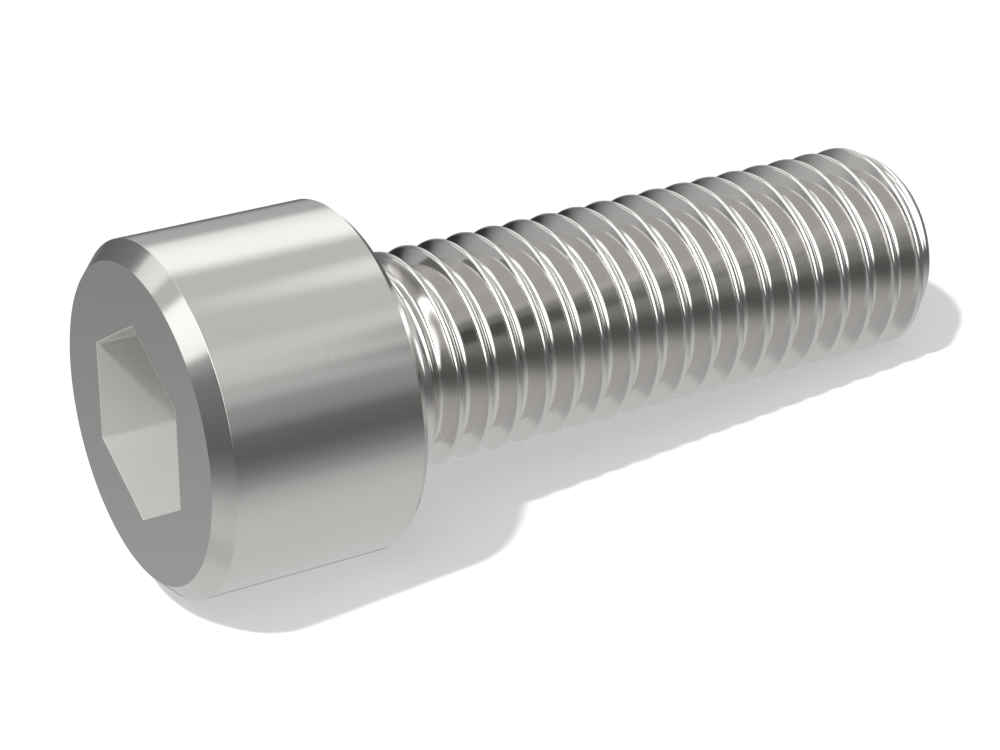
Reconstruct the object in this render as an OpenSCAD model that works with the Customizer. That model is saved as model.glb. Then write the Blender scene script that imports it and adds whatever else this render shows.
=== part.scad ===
// Socket head cap screw, M10 x 1.5, 30 mm long and threaded to the head,
// lying on its head rim and thread end as it comes to rest.
//
// The screw is built along its own axis first. The bearing face under the head
// is z = 0, the thread runs towards +z and the head towards -z. The side at +x
// is the one that faces the floor once the screw lies down.

/* [Head] */
// Diameter of the head
head_d = 16; // [13:0.5:20]
// Height of the head, from the bearing face to the socket face
head_h = 10; // [8:0.5:14]
// Width of the 45 degree chamfer round the socket face
face_chamfer = 0.8; // [0.2:0.1:1.5]
// Width of the 45 degree chamfer round the bearing face
rim_chamfer = 0.38; // [0.1:0.02:0.8]

/* [Hex socket] */
// Width across the flats
socket_flats = 8; // [5:0.5:9]
// Depth of the flats, measured from the socket face
socket_depth = 5; // [3:0.5:6]
// Diameter of the cone pressed into the floor of the socket
socket_cone_d = 6.4; // [2:0.2:7]
// Depth of that cone
socket_cone_depth = 0.9; // [0.2:0.1:1.2]
// Turn of the socket about the axis, 0 puts a corner at the floor side
socket_turn = 0; // [0:1:59]

/* [Shank] */
// Length from the bearing face to the end of the thread
shank_length = 30; // [16:1:45]
// Length of the plain neck between the bearing face and the thread
neck_length = 1.1; // [0.8:0.1:3]
// Radius of the fillet between the neck and the bearing face
neck_fillet = 0.4; // [0.2:0.05:0.7]
// Diameter of the flat end of the thread, where its 45 degree chamfer stops
tip_d = 7.9; // [6.6:0.1:8]

/* [Thread] */
// Nominal diameter
thread_d = 10; // [9:0.5:12]
// Rise of the thread in one turn
pitch = 1.5; // [1:0.25:1.75]
// How far the crests are made below the nominal diameter
crest_allowance = 0.032; // [0.02:0.002:0.1]
// Length over which the groove runs out towards the neck
runout_length = 1.7; // [0.5:0.1:4]
// Height of a crest above the bearing face on the floor side, within one pitch
crest_start = 0.61; // [0:0.01:0.99]

/* [Hidden] */

head_r = head_d / 2;
neck_r = thread_d / 2;
tip_r = tip_d / 2;
steel = [0.74, 0.74, 0.72];
round_sides = 180;
// A cut starts this far outside the surface it opens
cut_clearance = 1;

// The 60 degree thread profile. Flanks that lean 30 degrees from the radius meet
// in a sharp ridge and a sharp groove, one profile height apart, and both are
// then rounded with an arc that touches the two flanks.
flank_lean = 30;
profile_height = pitch / (2 * tan(flank_lean));
ridge_r = neck_r + profile_height / 8;
crest_r = neck_r - crest_allowance / 2;
crest_round = ridge_r - crest_r;
root_round = profile_height / 6;
root_r = ridge_r - profile_height + root_round;

// The points of one profile from root to root: how far along the axis from the
// root, and at what radius. Each arc is its two tangent points and its middle.
function tangent_shift(arc_r) = arc_r * cos(flank_lean);
function tangent_depth(arc_r) = arc_r * (1 - sin(flank_lean));
profile = [
    [0, root_r],
    [tangent_shift(root_round), root_r + tangent_depth(root_round)],
    [pitch / 2 - tangent_shift(crest_round), crest_r - tangent_depth(crest_round)],
    [pitch / 2, crest_r],
    [pitch / 2 + tangent_shift(crest_round), crest_r - tangent_depth(crest_round)],
    [pitch - tangent_shift(root_round), root_r + tangent_depth(root_round)]
];
rows_per_turn = len(profile);

// The threaded rod starts inside the neck and ends at the tip. Its grid of
// points has one more turn at each end, which folds flat into the end face.
rod_start = neck_length / 2;
end_turns = 1;
first_root = crest_start - pitch / 2
    + pitch * (floor((rod_start - crest_start) / pitch) - end_turns);
grid_turns = ceil((shank_length - first_root) / pitch) + end_turns;
last_row = rows_per_turn * grid_turns;
// Sides of one turn, as many as the number of triangles for the thread allows
thread_triangles = 11500;
turn_sides = floor(thread_triangles / (2 * last_row));
// How far each folded row lies inside the one before it on an end face
fold_step = tip_r / (4 * rows_per_turn);
// The middle of an end face, a little off the axis so that it sees the fold's
// last edge from the side
hub_offset = fold_step;

// How far round the axis a column is, as a share of a turn from the floor side.
// Columns lie half a side off it, so that a flat of each turn faces the floor.
function turn_share(k) = (k + 0.5) / turn_sides;
function column_angle(k) = 360 * turn_share(k);

// Height of a row before the ends are folded. Row j climbs the profile, and a
// full turn is one pitch further up.
function row_z(j, share) =
    first_root + pitch * (floor(j / rows_per_turn) + share)
    + profile[j % rows_per_turn].x;
function grid_z(j, k) = row_z(j, turn_share(k));

// Share of the full groove depth at height z: none at the neck, then growing
// along the run-out
function groove_share(z) =
    max(0, min(1, (z - neck_length) / runout_length));

// Radius of the cone that chamfers the end of the thread
function end_cone_r(z) = tip_r + shank_length - z;

function rod_r(j, z) =
    min(end_cone_r(z), crest_r - groove_share(z) * (crest_r - profile[j % rows_per_turn][1]));

// The first rows of a column that lie above the rod's start and at or past its end
function first_above(k) = len([for (j = [0 : last_row]) if (grid_z(j, k) < rod_start) j]);
function first_past(k) = len([for (j = [0 : last_row]) if (grid_z(j, k) < shank_length) j]);

// A grid point, as height and radius, with both ends folded into their face
function grid_point(j, k, above, past) =
    j < above ? [rod_start, crest_r - (above - j) * fold_step]
    : j < past ? [grid_z(j, k), rod_r(j, grid_z(j, k))]
    : [shank_length, tip_r - (j - past) * fold_step];

function on_circle(r, angle, z) = [r * cos(angle), r * sin(angle), z];

// The slope at which the screw lies: the floor touches the edge of the rim
// chamfer and the point of the round thread that it meets first
rest_slope = min([
    for (j = [0 : last_row])
        let (z = row_z(j, 0))
        if (z > neck_length && z < shank_length)
        (head_r - rod_r(j, z)) / (z + rim_chamfer)
]);
rest_tilt = atan(rest_slope);
// Where the middle of the screw's box and its lowest point lie once it is tilted
box_middle_x = (shank_length * cos(rest_tilt) + tip_r * sin(rest_tilt)
    - head_h * cos(rest_tilt) - (head_r - face_chamfer) * sin(rest_tilt)) / 2;
lowest_z = -head_r * cos(rest_tilt) + rim_chamfer * sin(rest_tilt);

// Outline of the head, revolved about the axis from the upper side, so that the
// seam of its surfaces is away from the floor
module head_body() {
    rotate(180)
        rotate_extrude($fn = round_sides)
            polygon([
                [0, -head_h],
                [head_r - face_chamfer, -head_h],
                [head_r, -head_h + face_chamfer],
                [head_r, -rim_chamfer],
                [head_r - rim_chamfer, 0],
                [0, 0]
            ]);
}

// Hexagonal recess with the shallow cone that its punch leaves in the floor
module hex_socket() {
    translate([0, 0, -head_h]) {
        rotate(socket_turn)
            translate([0, 0, -cut_clearance])
                cylinder(r = socket_flats / 2 / cos(30), h = socket_depth + cut_clearance, $fn = 6);
        translate([0, 0, socket_depth])
            cylinder(r1 = socket_cone_d / 2, r2 = 0, h = socket_cone_depth, $fn = round_sides);
    }
}

module head() {
    color(steel)
        difference() {
            head_body();
            hex_socket();
        }
}

// Plain neck with its fillet. It reaches a little way into the head, so that
// the two join in one solid.
module neck() {
    fillet_r = neck_r + neck_fillet;
    sunk = -socket_cone_depth;
    color(steel)
        rotate_extrude($fn = round_sides)
            difference() {
                polygon([
                    [0, sunk],
                    [fillet_r, sunk],
                    [fillet_r, neck_fillet],
                    [neck_r, neck_fillet],
                    [neck_r, neck_length],
                    [0, neck_length]
                ]);
                translate([fillet_r, neck_fillet])
                    circle(r = neck_fillet, $fn = round_sides);
            }
}

// Right-hand thread. The grid of points is a helical sheet: its last column
// joins its first one turn further up, and each end closes with a fan.
module threaded_rod() {
    above = [for (k = [0 : turn_sides - 1]) first_above(k)];
    past = [for (k = [0 : turn_sides - 1]) first_past(k)];
    column_points = [
        for (k = [0 : turn_sides - 1], j = [0 : last_row])
            let (point = grid_point(j, k, above[k], past[k]))
            on_circle(point[1], column_angle(k), point[0])
    ];
    start_hub = len(column_points);
    end_hub = start_hub + 1;
    hubs = [
        on_circle(hub_offset, column_angle(0) - 90, rod_start),
        on_circle(hub_offset, column_angle(turn_sides - 1) + 90, shank_length)
    ];
    // A column past the last is the first again, one turn of rows further up
    function index(j, k) =
        k < turn_sides ? k * (last_row + 1) + j : j + rows_per_turn;
    sheet = [
        for (k = [0 : turn_sides - 1])
            for (j = [0 : last_row - 1 - (k == turn_sides - 1 ? rows_per_turn : 0)])
                each [
                    [index(j, k), index(j + 1, k), index(j, k + 1)],
                    [index(j, k + 1), index(j + 1, k), index(j + 1, k + 1)]
                ]
    ];
    start_loop = [
        for (k = [0 : turn_sides - 1]) index(0, k),
        for (j = [rows_per_turn : -1 : 1]) index(j, 0)
    ];
    end_loop = [
        for (k = [0 : turn_sides - 1]) index(last_row, k),
        for (j = [last_row - 1 : -1 : last_row - rows_per_turn]) index(j, turn_sides - 1)
    ];
    start_fan = [
        for (i = [0 : len(start_loop) - 1])
            [start_hub, start_loop[i], start_loop[(i + 1) % len(start_loop)]]
    ];
    end_fan = [
        for (i = [0 : len(end_loop) - 1])
            [end_hub, end_loop[(i + 1) % len(end_loop)], end_loop[i]]
    ];
    color(steel)
        polyhedron(
            points = concat(column_points, hubs),
            faces = concat(sheet, start_fan, end_fan),
            convexity = 10
        );
}

// Lays the screw down with its axis along +x, the thread end tipped to the floor
module lie_down() {
    translate([-box_middle_x, 0, -lowest_z])
        rotate([0, 90 + rest_tilt, 0])
            children();
}

module cap_screw() {
    lie_down() {
        head();
        neck();
        threaded_rod();
    }
}

cap_screw();
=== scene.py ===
"""An M10 socket head cap screw of bright steel, lying on a pale studio floor.

The screw is one closed mesh, worked out in millimetres in the screw's own axes and
then laid down in the row frame in metres. In the screw's axes the bearing face under
the head is z = 0, the thread runs towards +z and the side at +x faces the floor.
"""

import logging
import math
from dataclasses import dataclass, field
from enum import Enum

import bmesh
import bpy
import numpy as np
from mathutils import Matrix, Vector


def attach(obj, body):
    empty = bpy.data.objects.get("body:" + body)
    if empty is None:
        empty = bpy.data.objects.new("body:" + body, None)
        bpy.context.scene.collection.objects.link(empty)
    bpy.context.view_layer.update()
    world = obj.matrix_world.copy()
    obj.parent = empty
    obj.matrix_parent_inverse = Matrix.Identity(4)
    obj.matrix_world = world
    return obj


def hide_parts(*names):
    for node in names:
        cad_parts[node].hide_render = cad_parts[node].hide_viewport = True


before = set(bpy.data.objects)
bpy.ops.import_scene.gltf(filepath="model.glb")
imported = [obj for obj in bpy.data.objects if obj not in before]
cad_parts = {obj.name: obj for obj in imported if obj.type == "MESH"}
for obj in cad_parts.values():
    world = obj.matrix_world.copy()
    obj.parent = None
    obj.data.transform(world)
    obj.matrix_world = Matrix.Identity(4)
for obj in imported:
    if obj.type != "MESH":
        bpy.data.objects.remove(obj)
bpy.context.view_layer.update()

LOG = logging.getLogger("cap_screw")
MM = 0.001
# The least length that anything is divided by
TINY = 1e-9


class Surface(Enum):
    """The differently finished surfaces of the screw, in material slot order."""

    TURNED = 0
    FACED = 1
    BROACHED = 2
    ROLLED = 3
    PUNCHED = 4


@dataclass(frozen=True)
class Laying:
    """How the screw lies: the turn and the shift from its own axes to the row frame."""

    tilt: float = math.radians(6.042307768)
    middle_x: float = 9.773392345
    lowest_z: float = -7.915555651

    def axes(self) -> np.ndarray:
        """The screw's x, y and z directions in the row frame, one to a row."""
        c, s = math.cos(self.tilt), math.sin(self.tilt)
        return np.array([[-s, 0.0, -c], [0.0, 1.0, 0.0], [c, 0.0, -s]])

    def shift(self) -> np.ndarray:
        """The row frame place of the bearing face's centre, in millimetres."""
        return np.array([-self.middle_x, 0.0, -self.lowest_z])

    def to_row(self, points: np.ndarray) -> np.ndarray:
        """Lays points down: turned by the tilt, then shifted.

        Args:
            points: Points in the screw's axes, in millimetres, one to a row.

        Returns:
            The same points in the row frame, in metres.
        """
        return (points @ self.axes() + self.shift()) * MM


@dataclass
class Grid:
    """A sheet of points with the faces between them.

    Attributes:
        points: The points, in millimetres, one to a row.
        quads: Four point numbers to a row, outward side anticlockwise.
        surface: The finish of the sheet's faces.
    """

    points: np.ndarray
    quads: np.ndarray
    surface: Surface


def around(sides: int) -> np.ndarray:
    """The angles of a loop's points about the axis, starting at the floor side."""
    return 2 * np.pi * np.arange(sides) / sides


def ring_quads(rows: int, sides: int) -> np.ndarray:
    """Faces between the loops of a closed tube.

    Args:
        rows: The number of loops.
        sides: The points of one loop.

    Returns:
        Quads that face outwards where each next loop lies further along +z.
    """
    j, k = np.meshgrid(np.arange(rows - 1), np.arange(sides), indexing="ij")
    here, further = j * sides, (j + 1) * sides
    after = (k + 1) % sides
    quads = np.stack([here + k, here + after, further + after, further + k], -1)
    return quads.reshape(-1, 4)


def eased_outline(corners: np.ndarray, ease: float, steps: int = 4) -> np.ndarray:
    """A polyline whose inner corners are rounded.

    Each corner P becomes the curve (1-u)^2 A + 2u(1-u) P + u^2 B, where A and B lie at
    the distance ease from P towards its neighbours. A further point twice as far out
    keeps the flat parts beside the curve flat in shading.

    Args:
        corners: The polyline's points, one to a row.
        ease: How far from a corner its curve starts.
        steps: The number of pieces in which a curve is made.

    Returns:
        The rounded line's points, one to a row.
    """
    before, here, after = corners[:-2], corners[1:-1], corners[2:]
    back = (before - here) / np.linalg.norm(before - here, axis=1, keepdims=True)
    on = (after - here) / np.linalg.norm(after - here, axis=1, keepdims=True)
    start, end = (here + ease * back)[:, None], (here + ease * on)[:, None]
    u = np.linspace(0.0, 1.0, steps + 1)[None, :, None]
    curve = (1 - u) ** 2 * start + 2 * u * (1 - u) * here[:, None] + u**2 * end
    first, last = (here + 2 * ease * back)[:, None], (here + 2 * ease * on)[:, None]
    wide = np.concatenate([first, curve, last], 1).reshape(-1, corners.shape[1])
    return np.concatenate([corners[:1], wide, corners[-1:]])


@dataclass
class Head:
    """The turned head: barrel with its two chamfers, underside, fillet and neck.

    Attributes:
        edge_ease: How far from an edge its rounding starts.
        face_lip: The width of the flat ring between the face and its chamfer's edge.
        bearing_lip: The width of the flat ring beside the neck's fillet.
        fillet_points: The points along the fillet's arc.
        sides: The points of one loop round the axis.
    """

    radius: float = 8.0
    height: float = 10.0
    face_chamfer: float = 0.8
    rim_chamfer: float = 0.38
    fillet: float = 0.4
    neck_radius: float = 5.0
    neck_length: float = 1.1
    edge_ease: float = 0.006
    face_lip: float = 0.02
    bearing_lip: float = 0.3
    fillet_points: int = 12
    sides: int = 180

    def face_edge(self) -> float:
        """The radius at which the face ends and its chamfer starts."""
        return self.radius - self.face_chamfer

    def fillet_arc(self) -> np.ndarray:
        """The neck's fillet: a quarter circle about its centre.

        Returns:
            The arc's points as radius and height, one to a row.
        """
        turn = np.linspace(0.0, np.pi / 2, self.fillet_points)
        r = self.neck_radius + self.fillet - self.fillet * np.sin(turn)
        return np.stack([r, self.fillet * (1 - np.cos(turn))], -1)

    def outline(self, thread_start_radius: float) -> np.ndarray:
        """Radius and height from the face's edge, round the head and to the thread.

        Args:
            thread_start_radius: The radius at which the thread takes over.

        Returns:
            The outline's points, one to a row.
        """
        corners = np.array([
            [self.face_edge() - self.face_lip, -self.height],
            [self.face_edge(), -self.height],
            [self.radius, -self.height + self.face_chamfer],
            [self.radius, -self.rim_chamfer],
            [self.radius - self.rim_chamfer, 0.0],
            [self.neck_radius + self.fillet + self.bearing_lip, 0.0],
        ])
        neck = np.array([
            [self.neck_radius, (self.fillet + self.neck_length) / 2],
            [self.neck_radius, self.neck_length - self.edge_ease],
            [thread_start_radius, self.neck_length],
        ])
        return np.concatenate([eased_outline(corners, self.edge_ease), self.fillet_arc(), neck])

    def grid(self, thread_start_radius: float) -> Grid:
        """The head's sheet: its outline turned about the axis.

        Args:
            thread_start_radius: The radius at which the thread takes over.

        Returns:
            The sheet.
        """
        line = self.outline(thread_start_radius)
        angle = around(self.sides)
        r, z = line[:, :1], line[:, 1:]
        points = np.stack([r * np.cos(angle), r * np.sin(angle), z + 0 * angle], -1)
        return Grid(points.reshape(-1, 3), ring_quads(len(line), self.sides), Surface.TURNED)


@dataclass
class HexSocket:
    """The broached hexagonal recess and the flat face round it.

    Attributes:
        edge_ease: How far from the rim's edge its rounding starts.
        foot: The height of the walls' lowest row of faces.
        turn: The angle from the floor side to a corner of the hexagon.
        cone_shares: Where the cone's loops lie, from the axis to its edge.
        face_shares: Where the face's loops lie, from the socket's rim to the round edge.
        sides: The points of one loop round the axis.
    """

    across_flats: float = 8.0
    depth: float = 5.0
    cone_radius: float = 3.2
    cone_depth: float = 0.9
    edge_ease: float = 0.014
    foot: float = 0.05
    turn: float = 0.0
    cone_shares: tuple[float, ...] = (0.0, 0.35, 0.7, 1.0)
    face_shares: tuple[float, ...] = (0.0, 0.03, 0.2, 0.4, 0.6, 0.8, 1.0)
    sides: int = 180

    def hexagon(self, half_flats: float) -> np.ndarray:
        """A loop on a hexagon: at each angle the radius is half the width across
        flats over the cosine of the angle from the nearest flat's middle.

        Args:
            half_flats: Half of the hexagon's width across flats.

        Returns:
            x and y of the loop's points, one to a row.
        """
        angle = around(self.sides)
        from_flat = np.mod(angle - self.turn, np.pi / 3) - np.pi / 6
        r = half_flats / np.cos(from_flat)
        return np.stack([r * np.cos(angle), r * np.sin(angle)], -1)

    def circle(self, r: float) -> np.ndarray:
        """x and y of a round loop's points, one to a row."""
        angle = around(self.sides)
        return np.stack([r * np.cos(angle), r * np.sin(angle)], -1)

    def sheet(self, pairs: list[tuple[np.ndarray, float]], surface: Surface) -> Grid:
        """Joins flat loops at their heights into one sheet.

        Args:
            pairs: Each loop's x and y, and its height.
            surface: The finish of the sheet's faces.

        Returns:
            The sheet.
        """
        points = [np.column_stack([xy, np.full(len(xy), z)]) for xy, z in pairs]
        return Grid(np.concatenate(points), ring_quads(len(pairs), self.sides), surface)

    def face_grid(self, head: Head) -> Grid:
        """The face: each loop is (1-s) times the socket's rim plus s times the round
        edge, for its share s.

        Args:
            head: The head that the face belongs to.

        Returns:
            The sheet.
        """
        rim = self.hexagon(self.across_flats / 2 + 2 * self.edge_ease)
        edge = self.circle(head.face_edge() - head.face_lip)
        pairs = [((1 - s) * rim + s * edge, -head.height) for s in self.face_shares]
        return self.sheet(pairs, Surface.FACED)

    def floor_grid(self, head: Head) -> Grid:
        """The floor of the recess: the punch's shallow cone, whose depth falls evenly
        from the axis to its edge, and the flat ring round it.

        Args:
            head: The head that the recess goes into.

        Returns:
            The sheet.
        """
        floor = self.depth - head.height
        pairs = [
            (self.circle(self.cone_radius * s), floor + self.cone_depth * (1 - s))
            for s in self.cone_shares
        ]
        pairs.append((self.hexagon(self.across_flats / 2), floor))
        return self.sheet(pairs, Surface.PUNCHED)

    def wall_grid(self, head: Head) -> Grid:
        """The walls: a hexagon at each height from the floor to the rim, whose edge
        is eased.

        Args:
            head: The head that the recess goes into.

        Returns:
            The sheet.
        """
        mouth, floor = -head.height, self.depth - head.height
        half, ease = self.across_flats / 2, self.edge_ease
        corners = np.array([[half, floor], [half, mouth], [half + 3 * ease, mouth]])
        rim = eased_outline(corners, ease)[1:-1]
        levels = [(half, floor), (half, floor - self.foot), (half, (floor + mouth) / 2), *rim]
        return self.sheet([(self.hexagon(h), z) for h, z in levels], Surface.BROACHED)


@dataclass
class Thread:
    """The rolled right-hand thread with its run-out at the neck and its flat end.

    Attributes:
        start: The height at which the neck ends and the thread starts.
        crest_allowance: How far the crests' diameter is below the nominal one.
        crest_start: The height of a crest on the floor side, within one pitch.
        runout: The length over which the groove grows to its full depth.
        end_radius: The radius of the flat end.
        end_ease: How far from the end chamfer's edge its rounding reaches.
        end_shares: Where the end's loops lie, from its edge to the axis.
        end_zone: The length at the end in which the chamfer changes the thread.
        root_slack: How far below the root a point still counts as on the thread.
        slope_step: Half the stretch over which the profile's slope is taken.
        arc_steps: Rows on each crest and each root.
        flank_steps: Rows on each flank.
        sides: The points of one turn.
    """

    nominal_radius: float = 5.0
    pitch: float = 1.5
    length: float = 30.0
    start: float = 1.1
    crest_allowance: float = 0.032
    crest_start: float = 0.61
    runout: float = 1.7
    end_radius: float = 3.95
    end_ease: float = 0.24
    end_shares: tuple[float, ...] = (1.0, 0.97, 0.7, 0.35, 0.0)
    end_zone: float = 1.3
    root_slack: float = 0.01
    slope_step: float = 1e-4
    lean: float = math.radians(30)
    arc_steps: int = 6
    flank_steps: int = 4
    sides: int = 180

    def __post_init__(self) -> None:
        """Works out the 60 degree profile's radii and a root's height from the sizes."""
        height = self.pitch / (2 * math.tan(self.lean))
        self.ridge_radius = self.nominal_radius + height / 8
        self.crest_radius = self.nominal_radius - self.crest_allowance / 2
        self.crest_round = self.ridge_radius - self.crest_radius
        self.root_round = height / 6
        self.root_radius = self.ridge_radius - height + self.root_round
        self.root_start = self.crest_start - self.pitch / 2

    def profile_radius(self, along: np.ndarray) -> np.ndarray:
        """The full thread's radius: two flanks that lean 30 degrees from the radius,
        with an arc over the ridge and an arc in the groove that touch them.

        Args:
            along: The distance along the axis from a root.

        Returns:
            The radius at each distance.
        """
        from_crest = np.abs(np.mod(along, self.pitch) - self.pitch / 2)
        from_root = self.pitch / 2 - from_crest
        flank = self.ridge_radius - from_crest / math.tan(self.lean)
        crest_half = self.crest_round * math.cos(self.lean)
        root_half = self.root_round * math.cos(self.lean)
        over = np.sqrt(np.maximum(self.crest_round**2 - from_crest**2, 0))
        under = np.sqrt(np.maximum(self.root_round**2 - from_root**2, 0))
        crest = self.crest_radius - self.crest_round + over
        root = self.root_radius + self.root_round - under
        low = np.where(from_root < root_half, root, flank)
        return np.where(from_crest < crest_half, crest, low)

    def row_places(self) -> np.ndarray:
        """Where the rows of one turn lie: evenly by angle on the arcs and evenly
        along the flanks.

        Returns:
            Distances along the axis, from root to root.
        """
        swing = np.linspace(0, math.pi / 2 - self.lean, self.arc_steps // 2 + 1)
        root = self.root_round * np.sin(swing)
        crest = self.pitch / 2 - self.crest_round * np.sin(swing[::-1])
        flank = np.linspace(root[-1], crest[0], self.flank_steps + 1)[1:-1]
        rising = np.concatenate([root, flank, crest])
        return np.concatenate([rising, self.pitch - rising[-2:0:-1]])

    def radius_at(self, along: np.ndarray, z: np.ndarray) -> np.ndarray:
        """The radius with the run-out and the end chamfer.

        The groove's depth grows evenly along the run-out. The end is a 45 degree cone,
        and the smaller of cone and thread counts, eased over a short stretch by taking
        k h (1-h) off their mix, where h goes from 0 to 1 as the two change places.

        Args:
            along: The distance from a root, along the axis.
            z: The height above the bearing face.

        Returns:
            The radius at each point.
        """
        share = np.clip((z - self.start) / self.runout, 0, 1)
        full = self.crest_radius - share * (self.crest_radius - self.profile_radius(along))
        cone = self.end_radius + self.length - z
        h = np.clip(0.5 + (cone - full) / (2 * self.end_ease), 0, 1)
        return cone * (1 - h) + full * h - self.end_ease * h * (1 - h)

    def grid(self) -> Grid:
        """The thread's sheet. Row j climbs the profile and column k goes round, and a
        full turn is one pitch further up, so the last column meets the first one turn
        of rows higher. Rows past either end gather on the end's circle.

        Returns:
            The sheet.
        """
        places = self.row_places()
        per_turn = len(places)
        first = self.root_start - self.pitch
        turns = math.ceil((self.length - first) / self.pitch) + 1
        j, k = np.meshgrid(np.arange(per_turn * turns + 1), np.arange(self.sides), indexing="ij")
        along = places[j % per_turn]
        z = first + self.pitch * (j // per_turn + k / self.sides) + along
        r = self.radius_at(along, z)
        r = np.where(z >= self.length, self.end_radius, r)
        r = np.where(z <= self.start, self.crest_radius, r)
        z = np.clip(z, self.start, self.length)
        angle = around(self.sides)
        points = np.stack([r * np.cos(angle), r * np.sin(angle), z], -1)
        return Grid(points.reshape(-1, 3), self.sheet_quads(len(j), per_turn), Surface.ROLLED)

    def sheet_quads(self, rows: int, per_turn: int) -> np.ndarray:
        """Faces of the helical sheet: between neighbours in rows and columns, and
        from the last column to the first one turn of rows further up.

        Args:
            rows: The rows of points.
            per_turn: The rows in one turn.

        Returns:
            Quads that face outwards.
        """
        j, k = np.meshgrid(np.arange(rows - 1), np.arange(self.sides), indexing="ij")
        up = np.where(k == self.sides - 1, per_turn, 0)
        after = (k + 1) % self.sides
        quads = np.stack([
            j * self.sides + k,
            (j + up) * self.sides + after,
            (j + up + 1) * self.sides + after,
            (j + 1) * self.sides + k,
        ], -1)
        return quads[j + up < rows - 1]

    def end_grid(self) -> Grid:
        """The flat end: circles from its edge to the axis.

        Returns:
            The sheet.
        """
        angle = around(self.sides)
        r = self.end_radius * np.array(self.end_shares)[:, None]
        height = self.length + 0 * r * angle
        points = np.stack([r * np.cos(angle), r * np.sin(angle), height], -1)
        quads = ring_quads(len(self.end_shares), self.sides)
        return Grid(points.reshape(-1, 3), quads, Surface.FACED)

    def normals(self, points: np.ndarray) -> np.ndarray:
        """Outward directions on the full thread, or zero elsewhere.

        A point's distance from the nearest root, less one pitch for each turn round,
        gives the slope dr/dz of the profile there. The direction is the cross product
        of the helix's own direction and the profile's.

        Args:
            points: Points in the screw's axes, in millimetres, one to a row.

        Returns:
            A direction for each point.
        """
        x, y, z = points.T
        r = np.hypot(x, y)
        rise = self.pitch / (2 * np.pi)
        along = np.mod(z - self.root_start - rise * np.arctan2(y, x), self.pitch)
        ahead = self.profile_radius(along + self.slope_step)
        behind = self.profile_radius(along - self.slope_step)
        slope = (ahead - behind) / (2 * self.slope_step)
        c, s = x / np.maximum(r, TINY), y / np.maximum(r, TINY)
        out = np.stack([r * c - rise * slope * s, r * s + rise * slope * c, -r * slope], -1)
        out /= np.maximum(np.linalg.norm(out, axis=1, keepdims=True), TINY)
        middle = (z > self.start + self.runout) & (z < self.length - self.end_zone)
        skin = (r > self.root_radius - self.root_slack) & (r < self.nominal_radius)
        return np.where((middle & skin)[:, None], out, 0.0)


class Marks(Enum):
    """What a finish's fine marks follow."""

    ALONG_AXIS = "rings round the axis, told apart by their height"
    FROM_AXIS = "rings round the axis, told apart by their radius"
    BY_ANGLE = "strokes along the axis, told apart by their angle"

    def coordinate(self, tree: bpy.types.NodeTree, split: bpy.types.Node) -> bpy.types.NodeSocket:
        """The number, in metres, that changes across the marks: the height, the
        length of x and y together, or the angle times the socket's inner radius.

        Args:
            tree: The material's node tree.
            split: The separated place in the screw's axes.

        Returns:
            The socket that gives the number.
        """
        nodes, links = tree.nodes, tree.links
        if self is Marks.ALONG_AXIS:
            return split.outputs["Z"]
        if self is Marks.FROM_AXIS:
            joined = nodes.new("ShaderNodeCombineXYZ")
            links.new(split.outputs["X"], joined.inputs["X"])
            links.new(split.outputs["Y"], joined.inputs["Y"])
            length = nodes.new("ShaderNodeVectorMath")
            length.operation = "LENGTH"
            links.new(joined.outputs["Vector"], length.inputs[0])
            return length.outputs["Value"]
        angle = nodes.new("ShaderNodeMath")
        angle.operation = "ARCTAN2"
        links.new(split.outputs["Y"], angle.inputs[0])
        links.new(split.outputs["X"], angle.inputs[1])
        arc = nodes.new("ShaderNodeMath")
        arc.operation = "MULTIPLY"
        arc.inputs[1].default_value = HexSocket.across_flats / 2 * MM
        links.new(angle.outputs["Value"], arc.inputs[0])
        return arc.outputs["Value"]


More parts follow.
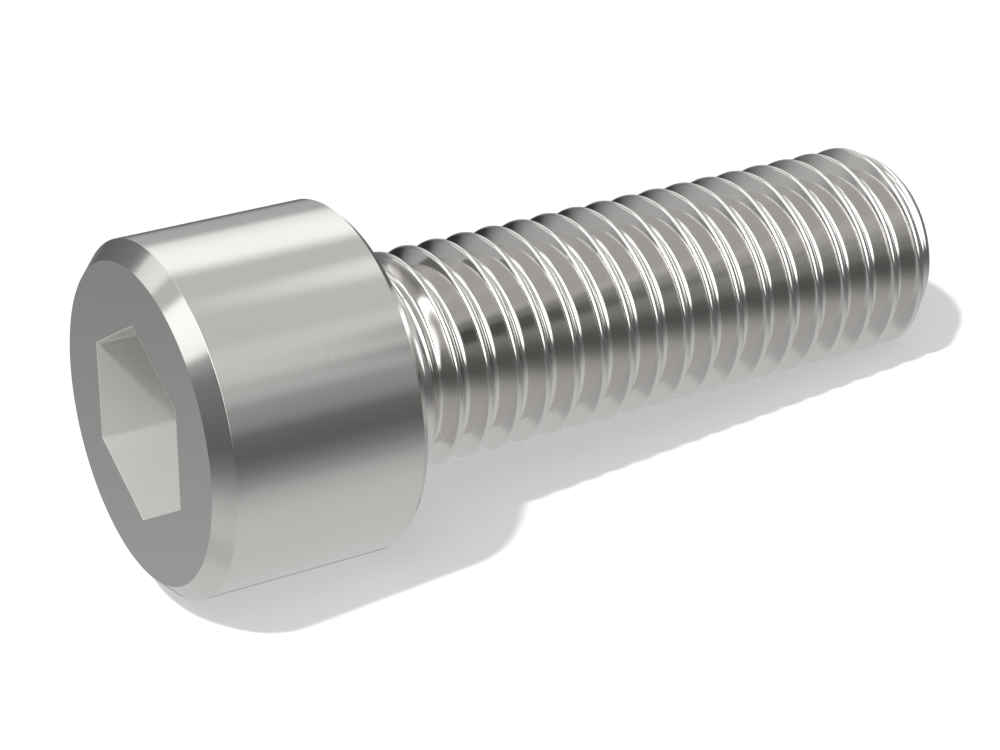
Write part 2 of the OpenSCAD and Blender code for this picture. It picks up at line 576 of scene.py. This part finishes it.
@dataclass(frozen=True)
class SteelFinish:
    """Bright bare steel: two close tones, fine tool marks and a soft polish.

    Attributes:
        name: The material's name.
        tone: The colour of the metal.
        duller: The second tone, which a broad noise mixes in.
        polish: The roughness between the marks.
        marks: How far the marks change the roughness.
        depth: The height of the marks, in metres.
        across: Marks in each metre across their direction.
        pattern: What the marks follow.
        bare: How much of the surface is bright metal, the rest is a pale satin.
        mark_detail: How much finer noise lies in the marks.
        mark_range: The part of the marks' noise that spans the roughness.
        cloud_scale: Clouds of the duller tone in each metre.
        cloud_detail: How much finer noise lies in the clouds.
    """

    name: str
    tone: tuple[float, float, float]
    duller: tuple[float, float, float]
    polish: float
    marks: float
    depth: float
    across: float
    pattern: Marks
    bare: float = 1.0
    mark_detail: float = 3.0
    mark_range: tuple[float, float] = (0.3, 0.7)
    cloud_scale: float = 260.0
    cloud_detail: float = 4.0

    def material(self, laying: Laying) -> bpy.types.Material:
        """Builds the node material.

        Args:
            laying: Where the screw's axis is, because the marks go round it.

        Returns:
            The material.
        """
        made = bpy.data.materials.new(self.name)
        made.use_nodes = True
        tree = made.node_tree
        tree.nodes.clear()
        out = tree.nodes.new("ShaderNodeOutputMaterial")
        steel = tree.nodes.new("ShaderNodeBsdfPrincipled")
        steel.inputs["Metallic"].default_value = self.bare
        tree.links.new(steel.outputs["BSDF"], out.inputs["Surface"])
        place = self.place_on_screw(tree, laying)
        marks = self.mark_noise(tree, place)
        tree.links.new(self.colour(tree, place), steel.inputs["Base Color"])
        tree.links.new(self.roughness(tree, marks), steel.inputs["Roughness"])
        tree.links.new(self.relief(tree, marks), steel.inputs["Normal"])
        return made

    def place_on_screw(self, tree: bpy.types.NodeTree, laying: Laying) -> bpy.types.NodeSocket:
        """The place on the object, turned and shifted back into the screw's axes.

        Args:
            tree: The material's node tree.
            laying: How the screw lies.

        Returns:
            The socket that gives the place, in metres.
        """
        place = tree.nodes.new("ShaderNodeTexCoord")
        own = tree.nodes.new("ShaderNodeMapping")
        own.vector_type = "TEXTURE"
        own.inputs["Location"].default_value = (laying.shift() * MM).tolist()
        own.inputs["Rotation"].default_value = (0.0, math.pi / 2 + laying.tilt, 0.0)
        tree.links.new(place.outputs["Object"], own.inputs["Vector"])
        return own.outputs["Vector"]

    def mark_noise(self, tree: bpy.types.NodeTree, place: bpy.types.NodeSocket) -> bpy.types.NodeSocket:
        """The tool marks: a noise of one number, which changes only across them.

        Args:
            tree: The material's node tree.
            place: The place in the screw's axes.

        Returns:
            The socket that gives the noise, about 0.5.
        """
        split = tree.nodes.new("ShaderNodeSeparateXYZ")
        tree.links.new(place, split.inputs["Vector"])
        lines = tree.nodes.new("ShaderNodeTexNoise")
        lines.noise_dimensions = "1D"
        lines.inputs["Scale"].default_value = self.across
        lines.inputs["Detail"].default_value = self.mark_detail
        tree.links.new(self.pattern.coordinate(tree, split), lines.inputs["W"])
        return lines.outputs["Fac"]

    def colour(self, tree: bpy.types.NodeTree, place: bpy.types.NodeSocket) -> bpy.types.NodeSocket:
        """The metal's tone with soft clouds of the duller one.

        Args:
            tree: The material's node tree.
            place: The place in the screw's axes.

        Returns:
            The socket that gives the colour.
        """
        clouds = tree.nodes.new("ShaderNodeTexNoise")
        clouds.inputs["Scale"].default_value = self.cloud_scale
        clouds.inputs["Detail"].default_value = self.cloud_detail
        tree.links.new(place, clouds.inputs["Vector"])
        mix = tree.nodes.new("ShaderNodeMix")
        mix.data_type = "RGBA"
        mix.inputs["A"].default_value = (*self.tone, 1.0)
        mix.inputs["B"].default_value = (*self.duller, 1.0)
        tree.links.new(clouds.outputs["Fac"], mix.inputs["Factor"])
        return mix.outputs["Result"]

    def roughness(self, tree: bpy.types.NodeTree, marks: bpy.types.NodeSocket) -> bpy.types.NodeSocket:
        """The polish, a little rougher or smoother as the marks go up and down.

        Args:
            tree: The material's node tree.
            marks: The tool marks.

        Returns:
            The socket that gives the roughness.
        """
        rough = tree.nodes.new("ShaderNodeMapRange")
        rough.inputs["From Min"].default_value = self.mark_range[0]
        rough.inputs["From Max"].default_value = self.mark_range[1]
        rough.inputs["To Min"].default_value = self.polish - self.marks
        rough.inputs["To Max"].default_value = self.polish + self.marks
        tree.links.new(marks, rough.inputs["Value"])
        return rough.outputs["Result"]

    def relief(self, tree: bpy.types.NodeTree, marks: bpy.types.NodeSocket) -> bpy.types.NodeSocket:
        """The surface's direction, tipped by the height of the marks.

        Args:
            tree: The material's node tree.
            marks: The tool marks.

        Returns:
            The socket that gives the direction.
        """
        bump = tree.nodes.new("ShaderNodeBump")
        bump.inputs["Distance"].default_value = self.depth
        bump.inputs["Strength"].default_value = 1.0
        tree.links.new(marks, bump.inputs["Height"])
        return bump.outputs["Normal"]


TURNED_STEEL = SteelFinish(
    name="turned_steel",
    tone=(0.725, 0.712, 0.69),
    duller=(0.695, 0.682, 0.66),
    polish=0.11,
    marks=0.02,
    depth=3e-7,
    across=9000.0,
    pattern=Marks.ALONG_AXIS,
)

FACED_STEEL = SteelFinish(
    name="faced_steel",
    tone=(0.685, 0.673, 0.652),
    duller=(0.655, 0.643, 0.622),
    polish=0.16,
    marks=0.02,
    depth=3e-7,
    across=7000.0,
    pattern=Marks.FROM_AXIS,
)

BROACHED_STEEL = SteelFinish(
    name="broached_steel",
    tone=(0.68, 0.669, 0.651),
    duller=(0.65, 0.64, 0.622),
    polish=0.3,
    marks=0.02,
    depth=2.5e-7,
    across=6000.0,
    pattern=Marks.BY_ANGLE,
    bare=0.3,
)

ROLLED_STEEL = SteelFinish(
    name="rolled_steel",
    tone=(0.72, 0.707, 0.686),
    duller=(0.69, 0.677, 0.657),
    polish=0.11,
    marks=0.015,
    depth=2e-7,
    across=8000.0,
    pattern=Marks.FROM_AXIS,
)

PUNCHED_STEEL = SteelFinish(
    name="punched_steel",
    tone=(0.7, 0.689, 0.67),
    duller=(0.66, 0.649, 0.631),
    polish=0.32,
    marks=0.03,
    depth=5e-7,
    across=4000.0,
    pattern=Marks.FROM_AXIS,
    bare=0.4,
)

FINISHES = {
    Surface.TURNED: TURNED_STEEL,
    Surface.FACED: FACED_STEEL,
    Surface.BROACHED: BROACHED_STEEL,
    Surface.ROLLED: ROLLED_STEEL,
    Surface.PUNCHED: PUNCHED_STEEL,
}


@dataclass
class CapScrew:
    """The whole screw as one closed piece that stands for its CAD node.

    Attributes:
        weld: How close points are to be joined, in metres.
        crease: The angle between faces past which their edge is sharp in shading.
    """

    head: Head = field(default_factory=Head)
    socket: HexSocket = field(default_factory=HexSocket)
    thread: Thread = field(default_factory=Thread)
    laying: Laying = field(default_factory=Laying)
    weld: float = 2e-7
    crease: float = math.radians(28)

    def sheets(self) -> list[Grid]:
        """All the sheets of the screw's skin, in order from socket to thread end."""
        return [
            self.socket.floor_grid(self.head),
            self.socket.wall_grid(self.head),
            self.socket.face_grid(self.head),
            self.head.grid(self.thread.crest_radius),
            self.thread.grid(),
            self.thread.end_grid(),
        ]

    def skin(self) -> bpy.types.Mesh:
        """Joins the sheets and welds the loops that they share.

        Returns:
            The closed mesh, still upright in the screw's axes, in metres.
        """
        grids = self.sheets()
        starts = np.cumsum([0] + [len(g.points) for g in grids[:-1]])
        points = np.concatenate([g.points for g in grids])
        quads = np.concatenate([g.quads + s for g, s in zip(grids, starts)])
        finish = np.concatenate([np.full(len(g.quads), g.surface.value) for g in grids])
        mesh = bpy.data.meshes.new("cap_screw_skin")
        mesh.from_pydata((points * MM).tolist(), [], quads.tolist())
        mesh.polygons.foreach_set("material_index", finish.astype(np.int32))
        work = bmesh.new()
        work.from_mesh(mesh)
        bmesh.ops.remove_doubles(work, verts=work.verts, dist=self.weld)
        open_edges = sum(not e.is_manifold for e in work.edges)
        work.to_mesh(mesh)
        work.free()
        LOG.info("skin: %d faces, %d open edges", len(mesh.polygons), open_edges)
        return mesh

    def mesh(self) -> bpy.types.Mesh:
        """Lays the skin down and shades it: smooth, with creases at the sharp edges
        and the thread's own directions on the thread.

        Returns:
            The finished mesh, in the row frame.
        """
        mesh = self.skin()
        mesh.polygons.foreach_set("use_smooth", np.ones(len(mesh.polygons), bool))
        mesh.set_sharp_from_angle(angle=self.crease)
        flat = np.empty(len(mesh.vertices) * 3)
        mesh.vertices.foreach_get("co", flat)
        own = flat.reshape(-1, 3) / MM
        mesh.vertices.foreach_set("co", self.laying.to_row(own).ravel())
        mesh.update()
        normals = self.thread.normals(own) @ self.laying.axes()
        mesh.normals_split_custom_set_from_vertices(normals.tolist())
        return mesh

    def build(self) -> bpy.types.Object:
        """Makes the screw's object, with its finishes, on the CAD body.

        Returns:
            The object.
        """
        mesh = self.mesh()
        for surface in Surface:
            mesh.materials.append(FINISHES[surface].material(self.laying))
        screw = bpy.data.objects.new("screw", mesh)
        bpy.context.scene.collection.objects.link(screw)
        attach(screw, "root")
        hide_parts("cap_screw")
        LOG.info("screw: %d points", len(mesh.vertices))
        return screw


@dataclass(frozen=True)
class SoftBox:
    """A soft round light or dark card in the studio's sky.

    Attributes:
        azimuth: Its direction round the screw, from the thread end, in degrees.
        elevation: Its height above the screw's own level, in degrees.
        core: The angle from its middle within which it has its full strength.
        edge: The angle at which it ends.
        strength: How much it adds to the sky. A dark card's is below zero.
    """

    azimuth: float
    elevation: float
    core: float
    edge: float
    strength: float

    def towards(self) -> tuple[float, float, float]:
        """The direction of its middle as a vector of length one."""
        a, e = math.radians(self.azimuth), math.radians(self.elevation)
        return (math.cos(e) * math.cos(a), math.cos(e) * math.sin(a), math.sin(e))


# The lights come first, then the dark cards
SOFT_BOXES = (
    SoftBox(60.0, 37.0, 9.0, 22.0, 0.62),
    SoftBox(68.0, 9.0, 4.0, 20.0, 0.3),
    SoftBox(128.0, 31.0, 8.0, 11.5, 0.42),
    SoftBox(172.0, 34.0, 12.0, 16.0, 0.75),
    SoftBox(3.0, 57.0, 4.0, 12.0, 0.42),
    SoftBox(-56.0, 44.0, 4.0, 14.0, 0.1),
    SoftBox(-65.0, 18.0, 3.0, 15.0, 0.13),
    SoftBox(138.0, 9.0, 8.0, 26.0, 0.27),
    SoftBox(-148.0, 52.0, 12.0, 27.0, 4.0),
    SoftBox(180.0, -12.0, 6.0, 20.0, 0.25),
    SoftBox(-113.0, 28.0, 16.0, 32.0, 3.0),
    SoftBox(128.0, 68.0, 8.0, 20.0, 1.6),
    SoftBox(107.0, -3.0, 5.0, 12.0, -0.13),
    SoftBox(63.0, -29.0, 4.0, 13.0, -0.28),
    SoftBox(-46.0, 37.0, 2.0, 10.0, -0.46),
    SoftBox(-51.0, 28.0, 2.0, 9.5, -0.4),
    SoftBox(167.0, -45.0, 9.0, 21.0, -0.19),
)

# How strong the sky is at each height above the screw's level, in degrees
SKY = (
    (-90.0, 0.68),
    (-60.0, 0.68),
    (-50.0, 0.66),
    (-41.0, 0.62),
    (-32.0, 0.52),
    (-25.0, 0.36),
    (-17.0, 0.22),
    (-8.0, 0.14),
    (3.0, 0.17),
    (14.0, 0.21),
    (20.0, 0.24),
    (26.0, 0.45),
    (34.0, 0.62),
    (45.0, 0.66),
    (90.0, 0.67),
)


@dataclass(frozen=True)
class PhotoView:
    """How the camera stands to the screw, in axes level with it: x along its axis
    from head to thread end, y away from the camera and z up.

    Attributes:
        lens: The focal length, in millimetres.
        sensor: The width of the picture behind the lens, in millimetres.
        near: Where the view starts, in metres.
        face: The socket face's height in the screw's axes, in millimetres.
        place: From the middle of the socket face to the camera, in millimetres.
        ahead: The direction in which the camera looks.
        right: The direction of the picture's right side.
    """

    lens: float = 105.09
    sensor: float = 36.0
    near: float = 0.01
    face: float = -10.0
    place: tuple[float, float, float] = (-44.871, -104.550, 54.895)
    ahead: tuple[float, float, float] = (0.4680, 0.7762, -0.4226)
    right: tuple[float, float, float] = (0.8564, -0.5163, 0.0)

    def matrix(self, laying: Laying) -> Matrix:
        """The camera's place and turn. Its up is the cross product of right and ahead.

        Args:
            laying: How the screw lies, because the camera turns with its axis.

        Returns:
            The matrix from the camera's axes to the row frame.
        """
        axes = laying.axes()
        level = np.stack([axes[2], axes[1], -axes[0]])
        face = laying.to_row(np.array([[0.0, 0.0, self.face]]))[0]
        place = face + np.array(self.place) * MM @ level
        ahead = np.array(self.ahead) @ level
        right = np.array(self.right) @ level
        ahead /= np.linalg.norm(ahead)
        right /= np.linalg.norm(right)
        up = np.cross(right, ahead)
        turn = Matrix([[right[i], up[i], -ahead[i]] for i in range(3)]).to_4x4()
        return Matrix.Translation(Vector(place)) @ turn


@dataclass
class Studio:
    """Floor, soft light and camera. None of it is part of the object.

    Attributes:
        laying: How the screw lies, because camera and sky are level with it.
        view: How the camera stands.
        floor_size: The floor's side, in metres.
        floor_tone: The floor's own grey.
        floor_glow: The even light that the camera sees on the floor.
        fill: The even strength that diffuse rays find in place of the sky.
        least_light: What the dark cards leave of the sky where they overlap.
        lamp_azimuth: The lamp's direction round the screw, from +X.
        lamp_elevation: The lamp's height above the floor.
        lamp_spread: The angle that the lamp fills, which softens the shadow's edge.
        lamp_power: The lamp's strength.
    """

    laying: Laying = field(default_factory=Laying)
    view: PhotoView = field(default_factory=PhotoView)
    floor_size: float = 1.2
    floor_tone: float = 0.61
    floor_glow: float = 0.36
    fill: float = 0.35
    least_light: float = 0.03
    lamp_azimuth: float = math.radians(206)
    lamp_elevation: float = math.radians(60)
    lamp_spread: float = math.radians(3)
    lamp_power: float = 2.6

    def floor(self) -> bpy.types.Object:
        """The pale floor on which the screw lies.

        Returns:
            The floor.
        """
        half = self.floor_size / 2
        corners = [(-half, -half, 0.0), (half, -half, 0.0), (half, half, 0.0), (-half, half, 0.0)]
        mesh = bpy.data.meshes.new("floor")
        mesh.from_pydata(corners, [], [(0, 1, 2, 3)])
        mesh.materials.append(self.floor_material())
        floor = bpy.data.objects.new("floor", mesh)
        bpy.context.scene.collection.objects.link(floor)
        return floor

    def floor_material(self) -> bpy.types.Material:
        """Matt grey with an even glow that only the camera sees, which keeps it white.

        Reflections look through the floor at the lower half of the sky, which is pale
        below and dim far out.

        Returns:
            The material.
        """
        made = bpy.data.materials.new("pale_floor")
        made.use_nodes = True
        nodes, links = made.node_tree.nodes, made.node_tree.links
        nodes.clear()
        out = nodes.new("ShaderNodeOutputMaterial")
        matt = nodes.new("ShaderNodeBsdfDiffuse")
        matt.inputs["Color"].default_value = (self.floor_tone,) * 3 + (1.0,)
        glow = nodes.new("ShaderNodeEmission")
        path = nodes.new("ShaderNodeLightPath")
        seen = nodes.new("ShaderNodeMath")
        seen.operation = "MULTIPLY"
        seen.inputs[1].default_value = self.floor_glow
        links.new(path.outputs["Is Camera Ray"], seen.inputs[0])
        links.new(seen.outputs["Value"], glow.inputs["Strength"])
        both = nodes.new("ShaderNodeAddShader")
        links.new(matt.outputs["BSDF"], both.inputs[0])
        links.new(glow.outputs["Emission"], both.inputs[1])
        clear = nodes.new("ShaderNodeBsdfTransparent")
        choice = nodes.new("ShaderNodeMixShader")
        links.new(path.outputs["Is Glossy Ray"], choice.inputs["Fac"])
        links.new(both.outputs["Shader"], choice.inputs[1])
        links.new(clear.outputs["BSDF"], choice.inputs[2])
        links.new(choice.outputs["Shader"], out.inputs["Surface"])
        return made

    def soft_light(
        self, tree: bpy.types.NodeTree, towards: bpy.types.NodeSocket, box: SoftBox
    ) -> bpy.types.NodeSocket:
        """What a soft box adds: its strength, easing off between its core and edge.

        Args:
            tree: The world's node tree.
            towards: The direction that is looked at.
            box: The soft box.

        Returns:
            The socket that gives the added strength.
        """
        near = tree.nodes.new("ShaderNodeVectorMath")
        near.operation = "DOT_PRODUCT"
        near.inputs[1].default_value = box.towards()
        tree.links.new(towards, near.inputs[0])
        ease = tree.nodes.new("ShaderNodeMapRange")
        ease.interpolation_type = "SMOOTHSTEP"
        ease.inputs["From Min"].default_value = math.cos(math.radians(box.edge))
        ease.inputs["From Max"].default_value = math.cos(math.radians(box.core))
        ease.inputs["To Max"].default_value = box.strength
        tree.links.new(near.outputs["Value"], ease.inputs["Value"])
        return ease.outputs["Result"]

    def open_sky(self, tree: bpy.types.NodeTree, towards: bpy.types.NodeSocket) -> bpy.types.NodeSocket:
        """The sky without its soft boxes: a ramp over the sine of the height.

        Args:
            tree: The world's node tree.
            towards: The direction that is looked at.

        Returns:
            The socket that gives the strength.
        """
        split = tree.nodes.new("ShaderNodeSeparateXYZ")
        tree.links.new(towards, split.inputs["Vector"])
        height = tree.nodes.new("ShaderNodeMapRange")
        height.inputs["From Min"].default_value = -1.0
        tree.links.new(split.outputs["Z"], height.inputs["Value"])
        ramp = tree.nodes.new("ShaderNodeValToRGB")
        stops = ramp.color_ramp.elements
        for n, (elevation, tone) in enumerate(SKY):
            at = (math.sin(math.radians(elevation)) + 1) / 2
            stop = stops[n] if n < 2 else stops.new(at)
            stop.position = at
            stop.color = (tone, tone, tone, 1.0)
        tree.links.new(height.outputs["Result"], ramp.inputs["Fac"])
        return ramp.outputs["Color"]

    def sky(self, tree: bpy.types.NodeTree) -> bpy.types.NodeSocket:
        """The sky that the steel shows: dim at the horizon, pale above and below, with
        the soft boxes and dark cards added, and never below the least light.

        Args:
            tree: The world's node tree.

        Returns:
            The socket that gives the strength.
        """
        place = tree.nodes.new("ShaderNodeTexCoord")
        level = tree.nodes.new("ShaderNodeMapping")
        level.vector_type = "VECTOR"
        level.inputs["Rotation"].default_value = (0.0, -self.laying.tilt, 0.0)
        tree.links.new(place.outputs["Generated"], level.inputs["Vector"])
        towards = level.outputs["Vector"]
        total = self.open_sky(tree, towards)
        for box in SOFT_BOXES:
            adding = tree.nodes.new("ShaderNodeMath")
            adding.operation = "ADD"
            tree.links.new(total, adding.inputs[0])
            tree.links.new(self.soft_light(tree, towards, box), adding.inputs[1])
            total = adding.outputs["Value"]
        least = tree.nodes.new("ShaderNodeMath")
        least.operation = "MAXIMUM"
        least.inputs[1].default_value = self.least_light
        tree.links.new(total, least.inputs[0])
        return least.outputs["Value"]

    def world(self) -> None:
        """The studio round the screw, told apart by what looks at it: white for the
        camera, an even fill for diffuse rays, and the sky for the steel."""
        world = bpy.data.worlds.new("studio")
        bpy.context.scene.world = world
        world.use_nodes = True
        tree = world.node_tree
        tree.nodes.clear()
        out = tree.nodes.new("ShaderNodeOutputWorld")
        backdrop = tree.nodes.new("ShaderNodeBackground")
        backdrop.inputs["Color"].default_value = (1.0, 1.0, 1.0, 1.0)
        path = tree.nodes.new("ShaderNodeLightPath")
        total = self.sky(tree)
        for ray, tone in (("Is Diffuse Ray", self.fill), ("Is Camera Ray", 1.0)):
            choice = tree.nodes.new("ShaderNodeMix")
            tree.links.new(path.outputs[ray], choice.inputs["Factor"])
            tree.links.new(total, choice.inputs["A"])
            choice.inputs["B"].default_value = tone
            total = choice.outputs["Result"]
        tree.links.new(total, backdrop.inputs["Strength"])
        tree.links.new(backdrop.outputs["Background"], out.inputs["Surface"])

    def lamp(self) -> None:
        """The one lamp, which casts the shadow on the floor and shows in no reflection."""
        light = bpy.data.lights.new("key", "SUN")
        light.energy = self.lamp_power
        light.angle = self.lamp_spread
        lamp = bpy.data.objects.new("key", light)
        bpy.context.scene.collection.objects.link(lamp)
        a, e = self.lamp_azimuth, self.lamp_elevation
        towards = Vector((math.cos(e) * math.cos(a), math.cos(e) * math.sin(a), math.sin(e)))
        lamp.matrix_world = towards.to_track_quat("Z", "Y").to_matrix().to_4x4()
        lamp.visible_glossy = False

    def camera(self) -> None:
        """The camera at the photograph's angle."""
        view = bpy.data.cameras.new("camera")
        view.sensor_width = self.view.sensor
        view.lens = self.view.lens
        view.clip_start = self.view.near
        camera = bpy.data.objects.new("camera", view)
        bpy.context.scene.collection.objects.link(camera)
        camera.matrix_world = self.view.matrix(self.laying)
        bpy.context.scene.camera = camera

    def build(self) -> None:
        """Sets up the whole studio."""
        bpy.context.scene.view_settings.view_transform = "Standard"
        self.camera()
        self.floor()
        self.world()
        self.lamp()
        LOG.info("studio: floor, sky, one lamp and the camera")


def main() -> None:
    """Builds the studio and the screw."""
    logging.basicConfig(level=logging.INFO)
    Studio().build()
    CapScrew().build()


if __name__ == "__main__":
    main()
